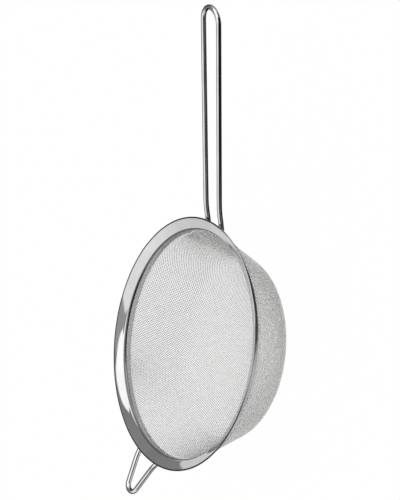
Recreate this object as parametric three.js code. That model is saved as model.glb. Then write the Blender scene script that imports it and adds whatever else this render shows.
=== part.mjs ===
// Wire-mesh tea strainer: a pressed funnel rim, a band that clamps the woven cloth,
// a dished bowl of woven wire, a hairpin wire handle and a small wire rest.
// Millimetres, +Z up. The origin is the centre of the small flat under the domed bowl,
// the opening faces +Z and the handle runs towards +X.

import * as THREE from 'three';

// Rim: a cone-shaped flange that folds down into a short collar
const rimRadius = 48.5;
const flangeWidth = 4.8;
const flangeRise = 2.25;
const sheetThickness = 0.5;
const foldRadius = 0.8;
const collarHeight = 2.6;

// Bowl of woven cloth, drawn as a thin shell of the cloth's own thickness
const bowlDepth = 33.4;
const domeRadius = 67.8;
const domeFlat = 6;
const cornerReach = 27.6;
const cornerRadius = 9;
const clothThickness = 0.5;
const shoulderDrop = 1.5;
const shoulderInset = 1.5;

// Band that holds the cloth's edge against the collar
const bandHeight = 1;
const bandThickness = 0.4;

// Wires
const wireDiameter = 2;
const handleReach = 132.1;
const handleSlope = THREE.MathUtils.degToRad(14.7);
const handleBendRadius = 43;
const handleRootSpacing = 9.6;
const handleTopSpacing = 11.2;
const restReach = 64.6;
const restSlope = THREE.MathUtils.degToRad(8.5);
const restBendRadius = 9;
const restRootSpacing = 14.2;
const restTipRadius = 3.3;
const restAzimuth = THREE.MathUtils.degToRad(168);

// Clearances
const contactGap = 0.3;      // between pieces that are welded or clamped together
const bendClearance = 0.5;   // from the rim's edge to where a wire starts to bend

// Smoothness
const rimSegments = 80;
const bowlSegments = 60;
const wireSides = 5;
const wireStep = 2.6;
const curveDivisions = 3;

// Sizes that follow from the ones above
const flangeSlope = Math.atan2(flangeRise, flangeWidth);
const halfSheet = sheetThickness / 2;
const wireRadius = wireDiameter / 2;
const collarInner = rimRadius - flangeWidth;
const collarMid = collarInner + halfSheet;
const foldHeight = bowlDepth - flangeRise;
const collarBottom = foldHeight - collarHeight;
const bendRadius = foldRadius + halfSheet;
const foldTurn = Math.PI / 2 - flangeSlope;
const coneEnd = new THREE.Vector2(rimRadius - halfSheet, bowlDepth - halfSheet);
const cornerHeight = coneEnd.y - (coneEnd.x - collarMid) * Math.tan(flangeSlope);
const foldStart = cornerHeight - bendRadius * Math.tan(foldTurn / 2);
const clothMid = collarInner + sheetThickness + contactGap + clothThickness / 2;
const bandInner = clothMid + clothThickness / 2 + contactGap;
const bandOuter = bandInner + bandThickness;

// Height of the flange's lower face at a radius
function flangeUnderside(radius) {
  const top = bowlDepth - (rimRadius - radius) * Math.tan(flangeSlope);
  return top - sheetThickness / Math.cos(flangeSlope);
}

// Height of the centre of a wire that lies along the flange's lower face
function wireSeat(radius) {
  return flangeUnderside(radius) - (contactGap + wireRadius) / Math.cos(flangeSlope);
}

const polishedSteel = { color: 0xc9c9cb, roughness: 0.12, metalness: 1 };
const clothSteel = { color: 0xbdbcba, roughness: 0.35, metalness: 1 };
const wireSteel = { color: 0xcfcfd1, roughness: 0.1, metalness: 1 };

const group = new THREE.Group();

function addPiece(name, geometry, finish) {
  const mesh = new THREE.Mesh(geometry, new THREE.MeshStandardMaterial(finish));
  mesh.name = name;
  group.add(mesh);
  return mesh;
}

// Points moved sideways from a profile line, to the left of its direction when side is +
function offsetLine(points, side) {
  return points.map((point, i) => {
    const before = points[Math.max(i - 1, 0)];
    const after = points[Math.min(i + 1, points.length - 1)];
    const along = new THREE.Vector2().subVectors(after, before).normalize();
    return new THREE.Vector2(point.x - along.y * side, point.y + along.x * side);
  });
}

// A profile's points without repeated neighbours
function withoutRepeats(points) {
  return points.filter((point, i) => i === 0 || point.distanceTo(points[i - 1]) > 1e-4);
}

// Half circle of points that rounds off a band's end, from one face to the other
function roundEnd(centre, from, turn) {
  const points = [];
  for (let i = 1; i < curveDivisions; i += 1) {
    const point = from.clone().rotateAround(centre, turn * Math.PI * i / curveDivisions);
    points.push(point);
  }
  return points;
}

// Turns a profile in radius and height about the Z axis
function revolve(profile, segments) {
  const geometry = new THREE.LatheGeometry(profile, segments);
  geometry.rotateX(Math.PI / 2);
  return geometry;
}

// Pressed rim: collar, fold and cone in one sheet with rounded free edges
function rimProfile() {
  const line = new THREE.Path();
  line.moveTo(collarMid, collarBottom + halfSheet);
  line.lineTo(collarMid, foldStart);
  line.absarc(collarMid + bendRadius, foldStart, bendRadius, Math.PI, Math.PI - foldTurn, true);
  line.lineTo(coneEnd.x, coneEnd.y);
  const middle = withoutRepeats(line.getPoints(curveDivisions));
  const lower = offsetLine(middle, -halfSheet);
  const upper = offsetLine(middle, halfSheet);
  const outerRound = roundEnd(coneEnd, lower[lower.length - 1], 1);
  const collarRound = roundEnd(middle[0], upper[0], 1);
  return [...lower, ...outerRound, ...upper.reverse(), ...collarRound, lower[0].clone()];
}

// Clamping band under the flange, a plain ring of rectangular section
function bandProfile() {
  const top = flangeUnderside(bandInner) - contactGap;
  const bottom = top - bandHeight;
  return [
    new THREE.Vector2(bandInner, bottom),
    new THREE.Vector2(bandOuter, bottom),
    new THREE.Vector2(bandOuter, top),
    new THREE.Vector2(bandInner, top),
    new THREE.Vector2(bandInner, bottom),
  ];
}

// Bowl: a shallow dome with a small flat in its middle, a round corner that the dome
// runs into, a tapered wall, and a shoulder up into the clamp
function bowlProfile() {
  const halfCloth = clothThickness / 2;
  const domeMid = domeRadius - halfCloth;
  const domeCentre = Math.sqrt(domeRadius ** 2 - domeFlat ** 2);
  const domeStart = Math.acos((domeCentre - halfCloth) / domeMid);
  const domeEnd = Math.asin(cornerReach / (domeRadius - cornerRadius));
  const centre = new THREE.Vector2(
    cornerReach,
    domeCentre - (domeRadius - cornerRadius) * Math.cos(domeEnd),
  );
  const cornerMid = cornerRadius - halfCloth;
  const shoulder = new THREE.Vector2(clothMid - shoulderInset, collarBottom - shoulderDrop);
  const toShoulder = new THREE.Vector2().subVectors(shoulder, centre);
  const tangentAngle = toShoulder.angle() - Math.acos(cornerMid / toShoulder.length());
  const wallTangent = new THREE.Vector2(Math.cos(tangentAngle), Math.sin(tangentAngle))
    .multiplyScalar(cornerMid)
    .add(centre);
  const wallDirection = new THREE.Vector2().subVectors(shoulder, wallTangent).normalize();
  const wallPull = shoulder.clone().addScaledVector(wallDirection, shoulderDrop / 2);
  const line = new THREE.Path();
  line.moveTo(0, halfCloth);
  line.lineTo(domeMid * Math.sin(domeStart), halfCloth);
  line.absarc(0, domeCentre, domeMid, domeStart - Math.PI / 2, domeEnd - Math.PI / 2, false);
  line.absarc(centre.x, centre.y, cornerMid, domeEnd - Math.PI / 2, tangentAngle, false);
  line.lineTo(shoulder.x, shoulder.y);
  line.bezierCurveTo(
    wallPull.x,
    wallPull.y,
    clothMid,
    collarBottom - shoulderDrop / 2,
    clothMid,
    collarBottom,
  );
  line.lineTo(clothMid, foldStart);
  const middle = withoutRepeats(line.getPoints(curveDivisions));
  const outside = offsetLine(middle, -halfCloth);
  const inside = offsetLine(middle, halfCloth);
  outside[0].x = 0;
  inside[0].x = 0;
  return [...outside, ...inside.reverse()];
}

// Path of a wire in radius and height: along the flange, a gentle bend, then straight
function liftPath(start, bendRadius, slope, reach) {
  const bendStart = rimRadius + bendClearance;
  const points = [
    new THREE.Vector2(start, wireSeat(start)),
    new THREE.Vector2(bendStart, wireSeat(bendStart)),
  ];
  const centre = new THREE.Vector2(
    bendStart + bendRadius * Math.sin(flangeSlope),
    wireSeat(bendStart) - bendRadius * Math.cos(flangeSlope),
  );
  const pieces = 3;
  for (let i = 1; i <= pieces; i += 1) {
    const angle = flangeSlope + (slope - flangeSlope) * i / pieces;
    points.push(new THREE.Vector2(
      centre.x - bendRadius * Math.sin(angle),
      centre.y + bendRadius * Math.cos(angle),
    ));
  }
  const last = points[points.length - 1];
  points.push(new THREE.Vector2(reach, last.y + (reach - last.x) * Math.tan(slope)));
  return points;
}

// Height of a lift path at a radius, by straight lines between its points
function heightAt(path, radius) {
  let i = 1;
  while (i < path.length - 1 && path[i].x < radius) {
    i += 1;
  }
  const share = (radius - path[i - 1].x) / (path[i].x - path[i - 1].x);
  return path[i - 1].y + share * (path[i].y - path[i - 1].y);
}

// Round wire along a list of points
function wireAlong(points) {
  const curve = new THREE.CatmullRomCurve3(points, false, 'centripetal');
  const section = new THREE.Shape().absarc(0, 0, wireRadius, 0, Math.PI * 2, false);
  const steps = Math.round(curve.getLength() / wireStep);
  return new THREE.ExtrudeGeometry(section, {
    steps,
    curveSegments: wireSides,
    extrudePath: curve,
    bevelEnabled: false,
  });
}

const wireStart = bandOuter + contactGap + wireRadius * Math.sin(flangeSlope);

// Mirror-image legs joined by a round tip, as plan points (radius outwards, sideways)
function hairpinPlan(rootSpacing, tipRadius, reach, legPoints) {
  const tip = new THREE.Vector2(reach - wireRadius - tipRadius, 0);
  const root = new THREE.Vector2(wireStart, rootSpacing / 2);
  const toTip = new THREE.Vector2().subVectors(tip, root);
  const legAngle = toTip.angle() + Math.asin(tipRadius / toTip.length());
  const normal = legAngle + Math.PI / 2;
  const legEnd = new THREE.Vector2(Math.cos(normal), Math.sin(normal))
    .multiplyScalar(tipRadius)
    .add(tip);
  const plan = [];
  for (let i = 0; i <= legPoints; i += 1) {
    plan.push(root.clone().lerp(legEnd, i / legPoints));
  }
  const arcPoints = 12;
  const halfArc = Math.atan2(legEnd.y - tip.y, legEnd.x - tip.x);
  for (let i = 1; i < arcPoints; i += 1) {
    const angle = halfArc * (1 - 2 * i / arcPoints);
    plan.push(new THREE.Vector2(
      tip.x + tipRadius * Math.cos(angle),
      tip.y + tipRadius * Math.sin(angle),
    ));
  }
  for (let i = legPoints; i >= 0; i -= 1) {
    const point = root.clone().lerp(legEnd, i / legPoints);
    plan.push(new THREE.Vector2(point.x, -point.y));
  }
  return plan;
}

// Long hairpin handle, welded under the flange by its two ends
function handleWire() {
  const lift = liftPath(wireStart, handleBendRadius, handleSlope, handleReach);
  const plan = hairpinPlan(handleRootSpacing, handleTopSpacing / 2, handleReach, 16);
  return wireAlong(plan.map((p) => new THREE.Vector3(p.x, p.y, heightAt(lift, p.x))));
}

// Short V-shaped rest, welded under the flange across from the handle
function restWire() {
  const lift = liftPath(wireStart, restBendRadius, restSlope, restReach);
  const plan = hairpinPlan(restRootSpacing, restTipRadius, restReach, 8);
  return wireAlong(plan.map((p) => new THREE.Vector3(p.x, p.y, heightAt(lift, p.x))));
}

addPiece('rim_flange', revolve(rimProfile(), rimSegments), polishedSteel);
addPiece('clamp_band', revolve(bandProfile(), rimSegments), polishedSteel);
addPiece('mesh_bowl', revolve(bowlProfile(), bowlSegments), clothSteel);
addPiece('handle_wire', handleWire(), wireSteel);
const rest = addPiece('rest_wire', restWire(), wireSteel);
rest.rotation.z = restAzimuth;

export default group;
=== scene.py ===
import math

import bpy
import numpy as np
from mathutils import Matrix, Vector


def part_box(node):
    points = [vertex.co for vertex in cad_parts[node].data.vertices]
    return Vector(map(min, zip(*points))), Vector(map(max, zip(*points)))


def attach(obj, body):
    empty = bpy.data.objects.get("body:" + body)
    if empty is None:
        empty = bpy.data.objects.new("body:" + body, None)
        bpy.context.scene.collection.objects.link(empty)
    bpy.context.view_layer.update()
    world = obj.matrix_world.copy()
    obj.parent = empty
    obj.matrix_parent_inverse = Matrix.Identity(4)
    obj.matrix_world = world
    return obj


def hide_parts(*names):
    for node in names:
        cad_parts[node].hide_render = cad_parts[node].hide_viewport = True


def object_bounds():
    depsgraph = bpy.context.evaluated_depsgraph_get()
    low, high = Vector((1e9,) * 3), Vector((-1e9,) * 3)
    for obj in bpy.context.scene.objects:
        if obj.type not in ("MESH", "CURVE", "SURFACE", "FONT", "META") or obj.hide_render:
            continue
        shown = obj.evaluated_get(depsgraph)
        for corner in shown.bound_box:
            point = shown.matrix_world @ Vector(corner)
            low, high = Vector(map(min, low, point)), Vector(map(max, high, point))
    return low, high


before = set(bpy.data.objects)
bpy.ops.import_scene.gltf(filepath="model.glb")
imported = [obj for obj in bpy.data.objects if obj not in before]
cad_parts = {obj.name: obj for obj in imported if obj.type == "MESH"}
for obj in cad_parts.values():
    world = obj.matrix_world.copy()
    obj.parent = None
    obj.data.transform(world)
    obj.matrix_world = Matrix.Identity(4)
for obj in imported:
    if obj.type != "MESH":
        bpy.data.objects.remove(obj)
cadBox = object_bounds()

mm = 0.001
scene = bpy.context.scene
scene.view_settings.view_transform = "Standard"

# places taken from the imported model, in metres
rimLow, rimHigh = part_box("rim_flange")
bandLow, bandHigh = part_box("clamp_band")
bowlLow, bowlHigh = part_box("mesh_bowl")
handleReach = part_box("handle_wire")[1].x
rimRadius = rimHigh.x
rimTop = rimHigh.z
collarBottom = rimLow.z
rimCentre = Vector((0, 0, rimTop))


def putMesh(name, points, quads, caps=None, uv=None):
    # points go in by foreach_set; quads hold 4 point numbers a row, caps hold one whole ring a row
    mesh = bpy.data.meshes.new(name)
    loops = quads.ravel()
    totals = np.full(len(quads), 4)
    if caps is not None and len(caps):
        loops = np.concatenate([loops, caps.ravel()])
        totals = np.concatenate([totals, np.full(len(caps), caps.shape[1])])
    starts = np.concatenate([[0], np.cumsum(totals)[:-1]])
    mesh.vertices.add(len(points))
    mesh.vertices.foreach_set("co", points.astype(np.float32).ravel())
    mesh.loops.add(len(loops))
    mesh.loops.foreach_set("vertex_index", loops.astype(np.int32))
    mesh.polygons.add(len(totals))
    mesh.polygons.foreach_set("loop_start", starts.astype(np.int32))
    mesh.polygons.foreach_set("use_smooth", np.ones(len(totals), bool))
    mesh.update(calc_edges=True)
    mesh.validate()
    if uv is not None:
        layer = mesh.uv_layers.new(name="along")
        layer.data.foreach_set("uv", uv.astype(np.float32).ravel())
    piece = bpy.data.objects.new(name, mesh)
    scene.collection.objects.link(piece)
    return piece


def ringQuads(rings, sides, closed):
    # quads between each ring and the next, counted so that faces look outwards
    ring = np.arange(rings if closed else rings - 1)[:, None]
    side = np.arange(sides)[None, :]
    nextRing = (ring + 1) % rings
    nextSide = (side + 1) % sides
    a = ring * sides + side
    b = ring * sides + nextSide
    c = nextRing * sides + nextSide
    d = nextRing * sides + side
    return np.stack([a, b, c, d], -1).reshape(-1, 4)


def lengths(line, closed):
    # distance along a line at each of its points, and once more at the start when it closes
    loop = np.vstack([line, line[:1]]) if closed else line
    return np.concatenate([[0], np.cumsum(np.linalg.norm(np.diff(loop, axis=0), axis=1))])


def sweptUv(rings, sides, quads, alongAt, acrossAt):
    # u runs round the section and v along the path, both in metres; the seam face reads the last entry
    ring = quads // sides
    side = quads % sides
    wrapSide = (side[:, 1:2] < side[:, 0:1]) & (np.arange(4)[None, :] % 3 != 0)
    wrapRing = (ring[:, 2:3] < ring[:, 0:1]) & (np.arange(4)[None, :] >= 2)
    u = acrossAt[side + wrapSide * sides]
    v = alongAt[ring + wrapRing * rings]
    return np.stack([u, v], -1).reshape(-1, 2)


def revolve(name, profile, turns, wobble=None):
    # a closed profile (radius, height) carried once round Z; wobble adds a small height by angle and radius
    angle = np.linspace(0, 2 * np.pi, turns, endpoint=False)[:, None]
    radius = profile[None, :, 0]
    height = profile[None, :, 1] + np.zeros_like(angle)
    if wobble is not None:
        height = height + wobble(angle, radius)
    points = np.stack([radius * np.cos(angle), radius * np.sin(angle), height], -1)
    sides = len(profile)
    quads = ringQuads(turns, sides, True)
    around = np.linspace(0, 2 * np.pi * profile[:, 0].max(), turns + 1)
    uv = sweptUv(turns, sides, quads, around, lengths(profile, True))
    return putMesh(name, points.reshape(-1, 3), quads, uv=uv)


def tube(name, path, up, halfWidth, halfHeight, sides):
    # an ellipse carried along a path: its flat side faces 'up', its widths may change on the way,
    # and each end is rounded off by rings that shrink as the root of one minus the square
    along = np.gradient(path, axis=0)
    along /= np.linalg.norm(along, axis=1)[:, None]
    side = np.cross(along, up)
    side /= np.linalg.norm(side, axis=1)[:, None]
    lift = np.cross(side, along)
    count = 6  # rings in each rounded end
    reach = np.linspace(1, 0, count + 1)[:-1]
    shrink = np.sqrt(1 - reach ** 2)
    shrink[0] = 0.12
    first = path[0] - along[0] * (reach * halfHeight[0])[:, None]
    last = (path[-1] + along[-1] * (reach * halfHeight[-1])[:, None])[::-1]
    path = np.vstack([first, path, last])
    side = np.vstack([np.repeat(side[:1], count, 0), side, np.repeat(side[-1:], count, 0)])
    lift = np.vstack([np.repeat(lift[:1], count, 0), lift, np.repeat(lift[-1:], count, 0)])
    wide = np.concatenate([shrink * halfWidth[0], halfWidth, (shrink * halfWidth[-1])[::-1]])
    high = np.concatenate([shrink * halfHeight[0], halfHeight, (shrink * halfHeight[-1])[::-1]])
    turn = np.linspace(0, 2 * np.pi, sides, endpoint=False)[None, :, None]
    points = (path[:, None] + side[:, None] * wide[:, None, None] * np.cos(turn)
              + lift[:, None] * high[:, None, None] * np.sin(turn))
    rings = len(path)
    quads = ringQuads(rings, sides, False)
    ends = np.arange(sides)
    caps = np.stack([ends[::-1], (rings - 1) * sides + ends])
    around = np.linspace(0, np.pi * (wide.max() + high.max()), sides + 1)
    uv = sweptUv(rings, sides, quads, lengths(path, False), around)
    capUv = np.zeros((caps.size, 2))
    return putMesh(name, points.reshape(-1, 3), quads, caps, np.vstack([uv, capUv]))


def arc(centre, radius, start, end, count):
    # points on a circle between two angles, both ends included
    angle = np.linspace(start, end, count)
    return np.stack([centre[0] + radius * np.cos(angle), centre[1] + radius * np.sin(angle)], -1)


def thickLine(line, half, count):
    # a closed outline at an even distance from a line: one face, a round end, the other face, a round end
    along = np.gradient(line, axis=0)
    along /= np.linalg.norm(along, axis=1)[:, None]
    normal = np.stack([-along[:, 1], along[:, 0]], -1)
    left = line + normal * half
    right = line - normal * half
    endAngle = math.atan2(*(-normal[-1])[::-1])
    startAngle = math.atan2(*normal[0][::-1])
    endRound = arc(line[-1], half, endAngle, endAngle + math.pi, count)[1:-1]
    startRound = arc(line[0], half, startAngle, startAngle + math.pi, count)[1:-1]
    return np.vstack([right, endRound, left[::-1], startRound])


def spaced(line, step):
    # the same line with points at even steps
    length = lengths(line, False)
    at = np.linspace(0, length[-1], max(2, int(length[-1] / step) + 1))
    return np.stack([np.interp(at, length, line[:, k]) for k in range(line.shape[1])], -1)


def newGroup(name, inputs, outputs):
    # an empty shader group with its sockets
    tree = bpy.data.node_groups.new(name, "ShaderNodeTree")
    for label, kind, value in inputs:
        socket = tree.interface.new_socket(label, in_out="INPUT", socket_type=kind)
        if value is not None:
            socket.default_value = value
    for label, kind in outputs:
        tree.interface.new_socket(label, in_out="OUTPUT", socket_type=kind)
    return tree, tree.nodes.new("NodeGroupInput"), tree.nodes.new("NodeGroupOutput")


def mathNode(tree, operation, a, b=None, c=None):
    # each of a, b and c is a number or a socket
    node = tree.nodes.new("ShaderNodeMath")
    node.operation = operation
    for k, value in enumerate((a, b, c)):
        if value is None:
            continue
        if isinstance(value, (int, float)):
            node.inputs[k].default_value = value
        else:
            tree.links.new(value, node.inputs[k])
    return node.outputs[0]


def rangeNode(tree, value, low, high, toLow, toHigh, smooth=False):
    node = tree.nodes.new("ShaderNodeMapRange")
    node.interpolation_type = "SMOOTHSTEP" if smooth else "LINEAR"
    tree.links.new(value, node.inputs["Value"])
    for label, number in (("From Min", low), ("From Max", high), ("To Min", toLow), ("To Max", toHigh)):
        if isinstance(number, (int, float)):
            node.inputs[label].default_value = number
        else:
            tree.links.new(number, node.inputs[label])
    return node.outputs["Result"]


def buildPolishGroup():
    # long thin noise stretched along the piece gives polishing lines, a fine speckle gives pits,
    # and a broad slow noise gives hand marks; Height, Gloss and Cloud carry them out
    tree, start, end = newGroup(
        "polishMarks",
        [("Vector", "NodeSocketVector", None), ("Fine", "NodeSocketFloat", 9000.0),
         ("Broad", "NodeSocketFloat", 90.0), ("Stretch", "NodeSocketFloat", 0.02)],
        [("Height", "NodeSocketFloat"), ("Gloss", "NodeSocketFloat"), ("Cloud", "NodeSocketFloat")])
    parts = tree.nodes.new("ShaderNodeSeparateXYZ")
    tree.links.new(start.outputs["Vector"], parts.inputs[0])
    joined = tree.nodes.new("ShaderNodeCombineXYZ")
    tree.links.new(parts.outputs["X"], joined.inputs["X"])
    along = mathNode(tree, "MULTIPLY", parts.outputs["Y"], start.outputs["Stretch"])
    tree.links.new(along, joined.inputs["Y"])
    lines = tree.nodes.new("ShaderNodeTexNoise")
    lines.inputs["Detail"].default_value = 3
    tree.links.new(joined.outputs[0], lines.inputs["Vector"])
    tree.links.new(start.outputs["Fine"], lines.inputs["Scale"])
    cloud = tree.nodes.new("ShaderNodeTexNoise")
    cloud.inputs["Detail"].default_value = 4
    tree.links.new(start.outputs["Vector"], cloud.inputs["Vector"])
    tree.links.new(start.outputs["Broad"], cloud.inputs["Scale"])
    speck = tree.nodes.new("ShaderNodeTexNoise")
    speck.inputs["Scale"].default_value = 2600
    speck.inputs["Detail"].default_value = 1
    tree.links.new(start.outputs["Vector"], speck.inputs["Vector"])
    pits = rangeNode(tree, speck.outputs["Fac"], 0.68, 0.78, 0.0, 1.0)
    height = mathNode(tree, "SUBTRACT", lines.outputs["Fac"], mathNode(tree, "MULTIPLY", pits, 0.6))
    tree.links.new(height, end.inputs["Height"])
    gloss = mathNode(tree, "MULTIPLY", lines.outputs["Fac"], cloud.outputs["Fac"])
    tree.links.new(gloss, end.inputs["Gloss"])
    tree.links.new(cloud.outputs["Fac"], end.inputs["Cloud"])
    return tree


def steel(name, look, polishGroup, byUv):
    # metal whose roughness, colour and bump all follow the polish marks; a look may also bring a painted dark
    # outline where the face turns away
    material = bpy.data.materials.new(name)
    material.use_nodes = True
    tree = material.node_tree
    shader = tree.nodes["Principled BSDF"]
    shader.inputs["Metallic"].default_value = look.get("metal", 1.0)
    grazing = look.get("grazing", 1.0)
    shader.inputs["Specular Tint"].default_value = (grazing, grazing, grazing, 1)
    where = tree.nodes.new("ShaderNodeTexCoord")
    marks = tree.nodes.new("ShaderNodeGroup")
    marks.node_tree = polishGroup
    tree.links.new(where.outputs["UV" if byUv else "Object"], marks.inputs["Vector"])
    for label in ("Fine", "Broad", "Stretch"):
        marks.inputs[label].default_value = look[label.lower()]
    tint = tree.nodes.new("ShaderNodeMix")
    tint.data_type = "RGBA"
    tint.inputs[6].default_value = (*look["deep"], 1)
    tint.inputs[7].default_value = (*look["bright"], 1)
    tree.links.new(rangeNode(tree, marks.outputs["Cloud"], 0.35, 0.65, 0.0, 1.0, True), tint.inputs[0])
    tree.links.new(tint.outputs[2], shader.inputs["Base Color"])
    if "outlineShade" in look:
        # painted shade: the wire draws its own dark outline, its colour falling from full to this share as
        # the face turns away
        away = tree.nodes.new("ShaderNodeLayerWeight")
        away.inputs["Blend"].default_value = 0.5
        shade = tree.nodes.new("ShaderNodeMix")
        shade.data_type = "RGBA"
        turned = rangeNode(tree, away.outputs["Facing"], *look["outlineFade"], 0.0, 1.0, True)
        tree.links.new(turned, shade.inputs[0])
        tree.links.new(tint.outputs[2], shade.inputs[6])
        shade.inputs[7].default_value = (look["outlineShade"], look["outlineShade"], look["outlineShade"], 1)
        tree.links.new(shade.outputs[2], shader.inputs["Base Color"])
    rough = rangeNode(tree, marks.outputs["Gloss"], 0.12, 0.42, look["roughLow"], look["roughHigh"])
    tree.links.new(rough, shader.inputs["Roughness"])
    bump = tree.nodes.new("ShaderNodeBump")
    bump.inputs["Strength"].default_value = look["bump"]
    bump.inputs["Distance"].default_value = look["depth"]
    tree.links.new(marks.outputs["Height"], bump.inputs["Height"])
    tree.links.new(bump.outputs["Normal"], shader.inputs["Normal"])
    return material


def dullAndShadedZone(material, middle, zone):
    # a band in u with its own colour and roughness, its borders made ragged by noise: at the outer edge a
    # dark band that is partly the sheared edge's own dull colour and partly painted shade, at the fold a
    # painted dark reflection, and inside the collar a duller finish where the wheel does not reach
    tree = material.node_tree
    shader = tree.nodes["Principled BSDF"]
    where = tree.nodes.new("ShaderNodeTexCoord")
    parts = tree.nodes.new("ShaderNodeSeparateXYZ")
    tree.links.new(where.outputs["UV"], parts.inputs[0])
    ragged = tree.nodes.new("ShaderNodeTexNoise")
    ragged.inputs["Scale"].default_value = 900
    tree.links.new(where.outputs["UV"], ragged.inputs["Vector"])
    away = mathNode(tree, "ABSOLUTE", mathNode(tree, "SUBTRACT", parts.outputs["X"], middle))
    away = mathNode(tree, "ADD", away, mathNode(tree, "MULTIPLY", ragged.outputs["Fac"], 0.08 * mm))
    mask = rangeNode(tree, away, zone["half"] + zone["fade"], zone["half"], 0.0, 1.0, True)
    if "shadeFadeAim" in zone:
        # painted shade: toward the given direction the dark band is taken down to a tenth, where that edge
        # reads light
        side = tree.nodes.new("ShaderNodeVectorMath")
        side.operation = "DOT_PRODUCT"
        tree.links.new(where.outputs["Object"], side.inputs[0])
        side.inputs[1].default_value = zone["shadeFadeAim"]
        shadeKept = rangeNode(tree, side.outputs["Value"], zone["shadeFadeStart"], zone["shadeFadeEnd"], 1.0, 0.1, True)
        mask = mathNode(tree, "MULTIPLY", mask, shadeKept)
    for label, value in (("Base Color", zone["colour"]), ("Roughness", zone["rough"])):
        socket = shader.inputs[label]
        mix = tree.nodes.new("ShaderNodeMix")
        isColour = label == "Base Color"
        mix.data_type = "RGBA" if isColour else "FLOAT"
        first, second = (6, 7) if isColour else (2, 3)
        tree.links.new(mask, mix.inputs[0])
        tree.links.new(socket.links[0].from_socket, mix.inputs[first])
        mix.inputs[second].default_value = (*value, 1) if isColour else value
        tree.links.new(mix.outputs[2 if isColour else 0], socket)


polish = buildPolishGroup()
print("shader groups ready")


# rim: a pressed sheet, from the collar's foot up through the fold and out along the cone
rim = {
    "sheet": 0.5 * mm,
    "foldRadius": 1.1 * mm,
    "width": 4.8 * mm,
    "rise": 2.25 * mm,
    "turns": 400,  # faces round the ring
    "crown": 0.058 * mm,
    "waviness": 0.02 * mm,
}
rimSlope = math.atan2(rim["rise"], rim["width"])
rimInner = rimRadius - rim["width"]
rimLook = {"deep": (0.60, 0.60, 0.61), "bright": (0.68, 0.68, 0.685), "roughLow": 0.02, "roughHigh": 0.07,
           "fine": 9000.0, "broad": 60.0, "stretch": 0.012, "bump": 0.05, "depth": 0.01 * mm,
           # edge: a dark band on the sheet's outer edge, partly the sheared edge's own dull colour and partly
           # painted shade, taken down on the near side
           "edge": {"half": 0.40 * mm, "fade": 0.10 * mm, "colour": (0.05, 0.05, 0.052), "rough": 0.4,
                    "shadeFadeAim": (0.57, -0.82, 0.0), "shadeFadeStart": 30 * mm, "shadeFadeEnd": 40 * mm},
           # fold: a painted dark reflection along the fold line
           "fold": {"tilt": math.radians(38), "half": 0.36 * mm, "fade": 0.22 * mm,
                    "colour": (0.16, 0.16, 0.165), "rough": 0.25},
           "collar": {"half": 1.0 * mm, "fade": 0.8 * mm, "colour": (0.66, 0.66, 0.665), "rough": 0.34}}


def rimOutline():
    # the middle line is a straight collar, an arc for the fold, and the straight cone; it then gets the
    # sheet's thickness and two round edges, and the places of the edge, fold and foot along the outline
    half = rim["sheet"] / 2
    bend = rim["foldRadius"] + half
    collar = rimInner + half
    outer = np.array([rimRadius - half, rimTop - half])
    turn = math.pi / 2 - rimSlope
    corner = outer[1] - (outer[0] - collar) * math.tan(rimSlope)
    foldStart = corner - bend * math.tan(turn / 2)
    fold = arc((collar + bend, foldStart), bend, math.pi, math.pi - turn, 15)
    foot = np.array([[collar, collarBottom + half]])
    line = np.vstack([spaced(np.vstack([foot, fold[:1]]), 0.3 * mm), fold[1:-1],
                      spaced(np.vstack([fold[-1:], outer[None]]), 0.35 * mm)])
    shape = thickLine(line, half, 9)
    along = lengths(shape, True)
    tilt = math.pi - rimLook["fold"]["tilt"]
    onFold = np.array([collar + bend, foldStart]) + (bend + half) * np.array([math.cos(tilt), math.sin(tilt)])
    foldAt = along[np.linalg.norm(shape - onFold, axis=1).argmin()]
    edgeAt = lengths(line, False)[-1] + half * math.pi / 2
    footAt = along[-1] - half * math.pi / 2
    return shape, edgeAt, foldAt, footAt


def rimWobble(angle, radius):
    # the cone bulges a little in mid-width (one minus a square), and slow waves round the ring grow from
    # nothing at the collar to full at the outer edge
    flat = rim["width"] / 4  # the fold takes the first quarter
    share = np.clip((radius - rimInner - flat) / (rim["width"] - flat), 0, 1)
    waves = np.sin(5 * angle + 0.6) + 0.7 * np.sin(11 * angle + 2.1) + 0.5 * np.sin(23 * angle + 4.0)
    bulge = (1 - (2 * share - 1) ** 2) * (share > 0)
    return rim["crown"] * bulge + rim["waviness"] * share * waves


outline, edgeAt, foldAt, footAt = rimOutline()
rimPiece = revolve("rim_flange_pressed", outline, rim["turns"], rimWobble)
rimSteel = steel("rimSteel", rimLook, polish, True)
# painted shade: the edge band is partly painted shade and the fold line is a painted dark reflection; the
# collar band is a duller finish
dullAndShadedZone(rimSteel, edgeAt, rimLook["edge"])
dullAndShadedZone(rimSteel, foldAt, rimLook["fold"])
dullAndShadedZone(rimSteel, footAt, rimLook["collar"])
rimPiece.data.materials.append(rimSteel)
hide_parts("rim_flange")
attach(rimPiece, "root")
print("rim ready")


# clamp band: a thin rolled hoop tucked under the flange
band = {"thickness": 0.55 * mm, "edge": 0.14 * mm, "turns": 300}
bandLook = {"deep": (0.50, 0.50, 0.51), "bright": (0.60, 0.60, 0.60), "roughLow": 0.18, "roughHigh": 0.34,
            "fine": 7000.0, "broad": 80.0, "stretch": 0.02, "bump": 0.15, "depth": 0.01 * mm}


def bandOutline():
    # a rectangle whose four corners are quarter circles
    outer = bandHigh.x
    inner = outer - band["thickness"]
    edge = band["edge"]
    corners = [((inner + edge, bandLow.z + edge), math.pi), ((outer - edge, bandLow.z + edge), 1.5 * math.pi),
               ((outer - edge, bandHigh.z - edge), 0.0), ((inner + edge, bandHigh.z - edge), 0.5 * math.pi)]
    return np.vstack([arc(centre, edge, angle, angle + math.pi / 2, 5) for centre, angle in corners])


bandPiece = revolve("clamp_band_rolled", bandOutline(), band["turns"])
bandPiece.data.materials.append(steel("bandSteel", bandLook, polish, True))
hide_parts("clamp_band")
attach(bandPiece, "root")
print("band ready")


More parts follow.
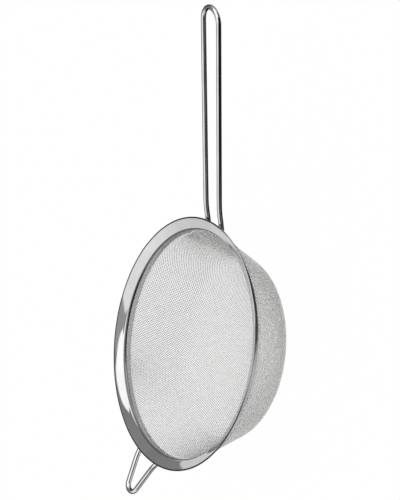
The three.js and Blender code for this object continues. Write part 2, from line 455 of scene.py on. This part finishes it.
# woven bowl: a plain weave laid over the pressed dish as a net of equal sides
cloth = {
    "pitch": 0.70 * mm,
    "wireRadius": 0.095 * mm,
    "angle": math.radians(73),  # of one set of wires from the handle
    "domeRadius": 67.8 * mm,
    "domeFlat": 6 * mm,
    "cornerReach": 27.6 * mm,
    "cornerRadius": 9 * mm,
    "thickness": 0.5 * mm,
    "shoulderDrop": 1.5 * mm,
    "shoulderInset": 1.5 * mm,
    "sides": 4,  # of each wire, shaded smooth
    "wander": 0.10 * mm,
    "cuts": (0, 0.385, 0.615, 1),  # each set of wires is three pieces, the long middle ones by themselves
}
clothLook = {"deep": (0.51, 0.506, 0.50), "bright": (0.57, 0.566, 0.56), "roughLow": 0.14, "roughHigh": 0.26,
             "fine": 5200.0, "broad": 500.0, "stretch": 0.2, "bump": 0.12, "depth": 0.01 * mm, "metal": 0.42}


def bowlLine():
    # middle of the cloth in radius and height: a shallow dome with a small flat in it, a corner arc the
    # dome runs into, a straight wall that touches the arc, an S from the wall out to the clamp, and
    # the upright edge, then a little beyond for the net; also its length up to the edge
    half = cloth["thickness"] / 2
    clampRadius = bowlHigh.x - half
    bend = cloth["cornerRadius"] - half
    domeMiddle = math.sqrt(cloth["domeRadius"] ** 2 - cloth["domeFlat"] ** 2)
    domeEnd = math.asin(cloth["cornerReach"] / (cloth["domeRadius"] - cloth["cornerRadius"]))
    cornerUp = domeMiddle - (cloth["domeRadius"] - cloth["cornerRadius"]) * math.cos(domeEnd)
    domeStart = cloth["domeFlat"] / cloth["domeRadius"]
    dome = arc((0, bowlLow.z + domeMiddle), cloth["domeRadius"] - half,
               domeStart - math.pi / 2, domeEnd - math.pi / 2, 80)
    centre = np.array([cloth["cornerReach"], bowlLow.z + cornerUp])
    shoulder = np.array([clampRadius - cloth["shoulderInset"], collarBottom - cloth["shoulderDrop"]])
    away = shoulder - centre
    touch = math.atan2(away[1], away[0]) - math.acos(bend / np.linalg.norm(away))
    corner = arc(centre, bend, domeEnd - math.pi / 2, touch, 60)
    wall = shoulder - corner[-1]
    wall /= np.linalg.norm(wall)
    pull = np.array([shoulder, shoulder + wall * cloth["shoulderDrop"] / 2,
                     [clampRadius, collarBottom - cloth["shoulderDrop"] / 2], [clampRadius, collarBottom]])
    t = np.linspace(0, 1, 30)[:, None]
    curve = ((1 - t) ** 3 * pull[0] + 3 * (1 - t) ** 2 * t * pull[1]
             + 3 * (1 - t) * t ** 2 * pull[2] + t ** 3 * pull[3])
    top = np.array([[clampRadius, bowlHigh.z], [clampRadius, bowlHigh.z + 8 * mm]])
    line = np.vstack([[[0, dome[0, 1]]], dome, corner[1:], curve, top])
    return spaced(line, 0.05 * mm), lengths(line, False)[-2]


def smoothTable(values, reach):
    # a running mean, with the ends held, that takes the kink out of where straight meets arc
    weights = np.ones(reach) / reach
    before = reach // 2
    padded = np.pad(values, (before, reach - 1 - before), "edge")
    return np.convolve(padded, weights, "valid")


bowl, bowlEdge = bowlLine()
bowlStep = np.linalg.norm(np.diff(bowl, axis=0), axis=1).mean()
bowlAlong = np.arange(len(bowl)) * bowlStep
bowlSlope = np.gradient(bowl, bowlStep, axis=0)
bowlSlope = np.stack([smoothTable(bowlSlope[:, 0], 9), smoothTable(bowlSlope[:, 1], 9)], -1)


def onBowl(along, angle):
    # point, its change along the profile and round the bowl, and the outward normal, at a distance from
    # the pole and an angle
    r = np.interp(along, bowlAlong, bowl[:, 0])
    z = np.interp(along, bowlAlong, bowl[:, 1])
    dr = np.interp(along, bowlAlong, bowlSlope[:, 0])
    dz = np.interp(along, bowlAlong, bowlSlope[:, 1])
    c, s = np.cos(angle), np.sin(angle)
    point = np.stack([r * c, r * s, z], -1)
    outward = np.stack([dr * c, dr * s, dz], -1)
    around = np.stack([-r * s, r * c, np.zeros_like(r)], -1)
    normal = np.stack([dz * c, dz * s, -dr], -1)
    return point, outward, around, normal


def drapeQuarter(count):
    # the two wires through the pole run straight down the dish; every further crossing lies one pitch
    # from the crossing before it on both of its wires, found by Newton steps, one diagonal at a time
    pitch = cloth["pitch"]
    along = np.zeros((count, count))
    angle = np.zeros((count, count))
    along[:, 0] = along[0, :] = np.arange(count) * pitch
    angle[0, 1:] = math.pi / 2
    points = np.zeros((count, count, 3))
    points[:, 0] = onBowl(along[:, 0], angle[:, 0])[0]
    points[0, :] = onBowl(along[0, :], angle[0, :])[0]
    for diagonal in range(2, 2 * count - 1):
        i = np.arange(max(1, diagonal - count + 1), min(count - 1, diagonal - 1) + 1)
        j = diagonal - i
        before, beside, behind = points[i - 1, j], points[i, j - 1], points[i - 1, j - 1]
        guess = before + beside - behind
        a = np.arctan2(guess[:, 1], guess[:, 0])
        s = np.maximum(along[i - 1, j] + along[i, j - 1] - along[i - 1, j - 1], pitch)
        flat = np.interp(np.hypot(guess[:, 0], guess[:, 1]), bowl[:, 0], bowlAlong)
        s = np.where(s < cloth["cornerReach"], np.maximum(flat, pitch), s)
        for step in range(8):
            here, outward, around = onBowl(s, a)[:3]
            u, v = here - before, here - beside
            f = (u ** 2).sum(1) - pitch ** 2
            g = (v ** 2).sum(1) - pitch ** 2
            fs, fa = 2 * (u * outward).sum(1), 2 * (u * around).sum(1)
            gs, ga = 2 * (v * outward).sum(1), 2 * (v * around).sum(1)
            size = fs * ga - fa * gs
            size = np.where(np.abs(size) < 1e-12, 1e-12, size)
            s = s - np.clip((f * ga - g * fa) / size, -pitch, pitch)
            a = a - np.clip((g * fs - f * gs) / size, -0.05, 0.05)
            s = np.clip(s, 0, bowlAlong[-1])
        along[i, j], angle[i, j] = s, a
        points[i, j] = onBowl(s, a)[0]
    return along, angle


def drape():
    # the quarter net is mirrored into the other three, turned to the cloth's angle, and let wander a little
    reach = int(bowlEdge / cloth["pitch"]) + 4
    along, angle = drapeQuarter(reach + 1)
    index = np.arange(-reach, reach + 1)
    i, j = np.meshgrid(index, index, indexing="ij")
    s = along[abs(i), abs(j)]
    a = angle[abs(i), abs(j)]
    a = np.arctan2(np.sin(a) * np.where(j < 0, -1, 1), np.cos(a) * np.where(i < 0, -1, 1))
    fade = np.clip(s / (12 * mm), 0, 1) * np.clip((bowlEdge - s) / (6 * mm), 0, 1)
    drift = np.sin(i * 0.11 + 1.3) + np.sin(j * 0.17 - 0.4) + np.sin((i + j) * 0.07)
    sway = np.sin(i * 0.13 - 2.0) + np.sin(j * 0.09 + 0.8) + np.sin((i - j) * 0.06 + 1.0)
    a = a + cloth["angle"] + fade * cloth["wander"] * drift / np.maximum(s, 6 * mm) / 3
    s = s + fade * cloth["wander"] * sway / 3
    point, outward, around, normal = onBowl(s, a)
    return s, point, normal, np.where((i + j) % 2 == 0, 1.0, -1.0)


def weaveWires(name, s, point, normal, over):
    # each row of crossings is one wire: it passes over and under in turn, a point half-way between two
    # crossings (by the four-point rule) is added, and a small ring is carried along the whole
    lift = cloth["wireRadius"] * 1.02
    wires, knots = s.shape
    before = np.roll(point, 1, axis=1)
    after = np.roll(point, -1, axis=1)
    beyond = np.roll(point, -2, axis=1)
    half = (9 * (point + after) - before - beyond) / 16
    path = np.stack([point + normal * (over * lift)[..., None], half], 2).reshape(wires, 2 * knots, 3)
    ways = np.stack([normal, normal + np.roll(normal, -1, axis=1)], 2).reshape(wires, 2 * knots, 3)
    reach = np.stack([s, (s + np.roll(s, -1, axis=1)) / 2], 2).reshape(wires, 2 * knots)
    inside = reach < bowlEdge - 0.2 * mm
    inside[:, :4] = inside[:, -4:] = False
    tiny = 1e-12  # the rows that lie past the cloth's edge are folded to a point, and are dropped below
    along = np.roll(path, -1, axis=1) - np.roll(path, 1, axis=1)
    along /= np.maximum(np.linalg.norm(along, axis=2), tiny)[..., None]
    side = np.cross(along, ways)
    side /= np.maximum(np.linalg.norm(side, axis=2), tiny)[..., None]
    up = np.cross(side, along)
    sides = cloth["sides"]
    turn = np.linspace(0, 2 * np.pi, sides, endpoint=False)[:, None]
    ring = path[..., None, :] + cloth["wireRadius"] * (
        side[..., None, :] * np.cos(turn) + up[..., None, :] * np.sin(turn))
    number = np.arange(wires * 2 * knots).reshape(wires, 2 * knots)
    joined = inside[:, :-1] & inside[:, 1:]
    first, second = number[:, :-1][joined], number[:, 1:][joined]
    k = np.arange(sides)
    following = (k + 1) % sides
    quads = np.stack([first[:, None] * sides + k, first[:, None] * sides + following,
                      second[:, None] * sides + following, second[:, None] * sides + k], -1).reshape(-1, 4)
    starts = number[inside & ~np.roll(inside, 1, axis=1) & np.roll(inside, -1, axis=1)]
    stops = number[inside & ~np.roll(inside, -1, axis=1) & np.roll(inside, 1, axis=1)]
    caps = np.vstack([starts[:, None] * sides + k[::-1], stops[:, None] * sides + k])
    used = np.zeros(wires * 2 * knots * sides, bool)
    used[quads.ravel()] = True
    renumber = np.cumsum(used) - 1
    return putMesh(name, ring.reshape(-1, 3)[used], renumber[quads], renumber[caps])


s, point, normal, over = drape()
weaveLooks = steel("wovenWire", clothLook, polish, False)
weavePieces = []
swap = (1, 0, 2)
warp = (s, point, normal, over)
weft = (s.T, point.transpose(swap), normal.transpose(swap), -over.T)
cuts = np.round(np.array(cloth["cuts"]) * len(s)).astype(int)
for family, net in (("warp", warp), ("weft", weft)):
    for place, first, last in zip(("near", "middle", "far"), cuts[:-1], cuts[1:]):
        piece = weaveWires(f"weave_{family}_{place}", *(part[first:last] for part in net))
        piece.data.materials.append(weaveLooks)
        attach(piece, "root")
        weavePieces.append(piece)
        print(piece.name, "has", len(piece.data.polygons), "faces")
for piece in weavePieces:
    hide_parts("mesh_bowl")


# handle and rest: round wire, pressed a little flat where it is welded under the flange
wire = {"radius": 1.0 * mm, "sides": 28, "step": 0.5 * mm, "rootGap": 0.4 * mm, "seatGap": 0.3 * mm,
        "flatLength": 3.0 * mm, "flatHeight": 0.80, "flatWidth": 1.18}
handle = {"reach": handleReach, "azimuth": 0.0, "rootSpacing": 9.6 * mm, "tipRadius": 5.6 * mm,
          "slope": math.radians(14.7), "bend": 43 * mm}
rest = {"reach": 64.6 * mm, "azimuth": math.radians(168), "rootSpacing": 14.2 * mm, "tipRadius": 3.3 * mm,
        "slope": math.radians(8.5), "bend": 9 * mm}
wireLook = {"deep": (0.64, 0.64, 0.65), "bright": (0.73, 0.73, 0.735), "roughLow": 0.015, "roughHigh": 0.06,
            "fine": 8000.0, "broad": 70.0, "stretch": 0.01, "bump": 0.04, "depth": 0.01 * mm, "grazing": 0.2,
            # painted shade: the wire's dark outline, its share of full colour and where it fades in
            "outlineShade": 0.12, "outlineFade": (0.25, 0.60)}
wireStart = bandHigh.x + wire["rootGap"]


def wireSeat(radius):
    # height of a wire's centre where it lies against the flange's lower face
    drop = (rim["sheet"] + wire["seatGap"] + wire["radius"]) / math.cos(rimSlope)
    return rimTop - (rimRadius - radius) * math.tan(rimSlope) - drop


def liftLine(spec):
    # side view of a wire: along the cone, an arc down to its own slope, then straight
    bend, slope, reach = spec["bend"], spec["slope"], spec["reach"]
    bendStart = rimRadius + 0.5 * mm
    centre = (bendStart + bend * math.sin(rimSlope), wireSeat(bendStart) - bend * math.cos(rimSlope))
    top = math.pi / 2
    curve = arc(centre, bend, top + rimSlope, top + slope, 24)
    end = [reach, curve[-1, 1] + (reach - curve[-1, 0]) * math.tan(slope)]
    return np.vstack([[[wireStart, wireSeat(wireStart)]], curve, [end]])


def hairpin(spec):
    # plan view: a leg, a round tip that both legs touch, and the leg's mirror image
    tip = np.array([spec["reach"] - wire["radius"] - spec["tipRadius"], 0.0])
    root = np.array([wireStart, spec["rootSpacing"] / 2])
    away = tip - root
    legAngle = math.atan2(away[1], away[0]) + math.asin(spec["tipRadius"] / np.linalg.norm(away))
    roundTip = arc(tip, spec["tipRadius"], legAngle + math.pi / 2, -legAngle - math.pi / 2, 40)
    plan = spaced(np.vstack([root, roundTip, root * [1, -1]]), wire["step"])
    side = liftLine(spec)
    height = smoothTable(np.interp(plan[:, 0], side[:, 0], side[:, 1]), 9)
    tilt = np.interp(plan[:, 0], side[:, 0], np.gradient(side[:, 1], side[:, 0]))
    up = np.stack([-tilt, np.zeros_like(tilt), np.ones_like(tilt)], -1)
    return np.column_stack([plan, height]), up / np.linalg.norm(up, axis=1)[:, None]


def bentWire(name, spec, node):
    # the wire's section is an oval near its two ends and eases into a circle (smoothstep)
    path, up = hairpin(spec)
    turn = np.array(Matrix.Rotation(spec["azimuth"], 3, "Z"))
    path, up = path @ turn.T, up @ turn.T
    fromEnd = np.minimum(np.arange(len(path)), np.arange(len(path))[::-1]) * wire["step"]
    free = np.clip(fromEnd / wire["flatLength"] - 0.35, 0, 1)
    free = free * free * (3 - 2 * free)
    high = wire["radius"] * (wire["flatHeight"] + (1 - wire["flatHeight"]) * free)
    wide = wire["radius"] * (wire["flatWidth"] + (1 - wire["flatWidth"]) * free)
    piece = tube(name, path, up, wide, high, wire["sides"])
    piece.data.materials.append(wireSteel)
    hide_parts(node)
    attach(piece, "root")
    return path


wireSteel = steel("wireSteel", wireLook, polish, True)
handlePath = bentWire("handle_wire_bent", handle, "handle_wire")
restPath = bentWire("rest_wire_bent", rest, "rest_wire")
print("wires ready")


# welds: a small uneven nugget between each wire end and the flange
weld = {"length": 1.5 * mm, "width": 1.25 * mm, "height": 0.62 * mm, "rings": 24, "sides": 32}
weldLook = {"deep": (0.34, 0.31, 0.28), "bright": (0.60, 0.58, 0.55), "roughLow": 0.2, "roughHigh": 0.45,
            "fine": 3000.0, "broad": 900.0, "stretch": 0.6, "bump": 0.4, "depth": 0.05 * mm}


def weldNugget(name, centre, azimuth, seed):
    # a closed oval whose radius swells and shrinks by a few sines of its two angles
    polar = np.linspace(0.05, math.pi - 0.05, weld["rings"])[:, None]
    turn = np.linspace(0, 2 * np.pi, weld["sides"], endpoint=False)[None, :]
    uneven = (1 + 0.07 * np.sin(3 * turn + seed) * np.sin(polar)
              + 0.05 * np.sin(5 * turn - 2 * seed) * np.sin(2 * polar))
    local = np.stack([weld["length"] * uneven * np.sin(polar) * np.cos(turn),
                      weld["width"] * uneven * np.sin(polar) * np.sin(turn),
                      weld["height"] * uneven * np.cos(polar) + 0 * turn], -1)
    tilt = Matrix.Rotation(azimuth, 3, "Z") @ Matrix.Rotation(-rimSlope, 3, "Y")
    points = local.reshape(-1, 3) @ np.array(tilt).T + centre
    sides = weld["sides"]
    quads = ringQuads(weld["rings"], sides, False)[:, ::-1]
    ends = np.arange(sides)
    caps = np.stack([ends, (weld["rings"] - 1) * sides + ends[::-1]])
    piece = putMesh(name, points, quads, caps)
    piece.data.materials.append(weldSteel)
    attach(piece, "root")


weldSteel = steel("weldSteel", weldLook, polish, False)
for label, path, spec in (("handle", handlePath, handle), ("rest", restPath, rest)):
    for number, end in enumerate((path[2], path[-3])):
        spot = end + np.array([0, 0, 0.75 * wire["radius"]])
        weldNugget(f"weld_{label}_{number + 1}", spot, spec["azimuth"], 1.7 * number + len(label))
print("welds ready")


# floor, light and camera
studio = {
    "floorSize": 40.0,
    "floorDrop": 0.2 * mm,
    "sky": 0.86,  # between the panels
    "skyFill": 0.72,  # for matt light
    "table": 0.98,  # as seen
    "tableFill": 3.2,  # for matt light
    "tableShine": 0.74,  # as polished metal shows its lit part
    # over these stretches polished metal sees the table change between lit and dark
    "lean": 0.2,
    "backEdge": (-15 * mm, 60 * mm),
    "leftEdge": (5 * mm, 38 * mm),
    "nearEdge": (-200 * mm, -130 * mm),
    # soft panels and gaps round the strainer: azimuth, elevation, radius, softness (degrees), brightness
    "panels": [(157, 58, 22, 14, 1.12), (59, 73, 23.6, 0.8, 0.42), (62, 47, 32.7, 1.0, 0.29),
               (-34, 51, 43.0, 0.6, 1.45), (-117, 9, 31, 2, 0.01), (-80, 12, 27, 3, 0.015)],
}
view = {"from": Vector((0.1888, -0.8134, 0.5503)), "up": Vector((0.9595, 0.2721, 0.0731)), "distance": 6,
        "height": 0.18996, "aimRight": 6.22 * mm, "aimUp": 35.65 * mm}


def direction(azimuth, elevation):
    a, e = math.radians(azimuth), math.radians(elevation)
    return math.cos(e) * math.cos(a), math.cos(e) * math.sin(a), math.sin(e)


def buildSky():
    # even sky; each panel is a disc on it, found from the angle between the ray and the panel's middle
    world = bpy.data.worlds.new("studioSky")
    scene.world = world
    world.use_nodes = True
    tree = world.node_tree
    background = tree.nodes["Background"]
    where = tree.nodes.new("ShaderNodeTexCoord")
    level = tree.nodes.new("ShaderNodeValue")
    level.outputs[0].default_value = studio["sky"]
    level = level.outputs[0]
    for azimuth, elevation, radius, soft, bright in studio["panels"]:
        facing = tree.nodes.new("ShaderNodeVectorMath")
        facing.operation = "DOT_PRODUCT"
        tree.links.new(where.outputs["Generated"], facing.inputs[0])
        facing.inputs[1].default_value = direction(azimuth, elevation)
        outside = math.cos(math.radians(radius + soft))
        inside = math.cos(math.radians(max(radius - soft, 0.1)))
        mask = rangeNode(tree, facing.outputs["Value"], outside, inside, 0.0, 1.0, True)
        blend = tree.nodes.new("ShaderNodeMix")
        tree.links.new(mask, blend.inputs[0])
        tree.links.new(level, blend.inputs[2])
        blend.inputs[3].default_value = bright
        level = blend.outputs[0]
    seen = tree.nodes.new("ShaderNodeLightPath")
    final = tree.nodes.new("ShaderNodeMix")
    tree.links.new(seen.outputs["Is Diffuse Ray"], final.inputs[0])
    tree.links.new(level, final.inputs[2])
    final.inputs[3].default_value = studio["skyFill"]
    backdrop = tree.nodes.new("ShaderNodeMix")
    tree.links.new(seen.outputs["Is Camera Ray"], backdrop.inputs[0])
    tree.links.new(final.outputs[0], backdrop.inputs[2])
    backdrop.inputs[3].default_value = 1.0
    tree.links.new(backdrop.outputs[0], background.inputs["Color"])
    background.inputs["Strength"].default_value = 1.0


def buildFloor():
    # a lit white table; in polished metal only its back and its left side near the strainer are lit
    size = studio["floorSize"] / 2
    low = cadBox[0][2] - studio["floorDrop"]
    corners = np.array([[-size, -size, low], [size, -size, low], [size, size, low], [-size, size, low]])
    floor = putMesh("studio_floor", corners, np.array([[0, 1, 2, 3]]))
    material = bpy.data.materials.new("floorWhite")
    material.use_nodes = True
    tree = material.node_tree
    shader = tree.nodes["Principled BSDF"]
    shader.inputs["Base Color"].default_value = (0.02, 0.02, 0.02, 1)
    shader.inputs["Roughness"].default_value = 0.9
    shader.inputs["Specular IOR Level"].default_value = 0.0
    shader.inputs["Emission Color"].default_value = (1, 1, 1, 1)
    where = tree.nodes.new("ShaderNodeTexCoord")
    parts = tree.nodes.new("ShaderNodeSeparateXYZ")
    tree.links.new(where.outputs["Object"], parts.inputs[0])
    shine = studio["tableShine"]
    sideways = mathNode(tree, "MULTIPLY", parts.outputs["X"], studio["lean"])
    backwards = mathNode(tree, "ADD", parts.outputs["Y"], sideways)
    backPart = rangeNode(tree, backwards, *studio["backEdge"], 0.0, shine, True)
    leftPart = rangeNode(tree, parts.outputs["X"], *studio["leftEdge"], shine, 0.0, True)
    nearPart = rangeNode(tree, parts.outputs["Y"], *studio["nearEdge"], 0.0, 1.0, True)
    shade = mathNode(tree, "MAXIMUM", backPart, mathNode(tree, "MULTIPLY", leftPart, nearPart))
    rays = tree.nodes.new("ShaderNodeLightPath")
    glow = tree.nodes.new("ShaderNodeMix")
    tree.links.new(rays.outputs["Is Glossy Ray"], glow.inputs[0])
    glow.inputs[2].default_value = studio["table"]
    tree.links.new(shade, glow.inputs[3])
    lit = tree.nodes.new("ShaderNodeMix")
    tree.links.new(rays.outputs["Is Diffuse Ray"], lit.inputs[0])
    tree.links.new(glow.outputs[0], lit.inputs[2])
    lit.inputs[3].default_value = studio["tableFill"]
    tree.links.new(lit.outputs[0], shader.inputs["Emission Strength"])
    floor.data.materials.append(material)


def placeCamera():
    # square to the view direction, turned so that the handle points up, and aimed beside the rim's centre
    back = view["from"].normalized()
    right = view["up"].cross(back).normalized()
    up = back.cross(right)
    aim = rimCentre + right * view["aimRight"] + up * view["aimUp"]
    data = bpy.data.cameras.new("studioCamera")
    data.sensor_width = 36
    data.lens = data.sensor_width * view["distance"] / view["height"]
    data.clip_end = 100
    camera = bpy.data.objects.new("studioCamera", data)
    place = Matrix((right, up, back)).transposed().to_4x4()
    place.translation = aim + back * view["distance"]
    camera.matrix_world = place
    scene.collection.objects.link(camera)
    scene.camera = camera


buildSky()
buildFloor()
placeCamera()
print("studio ready")
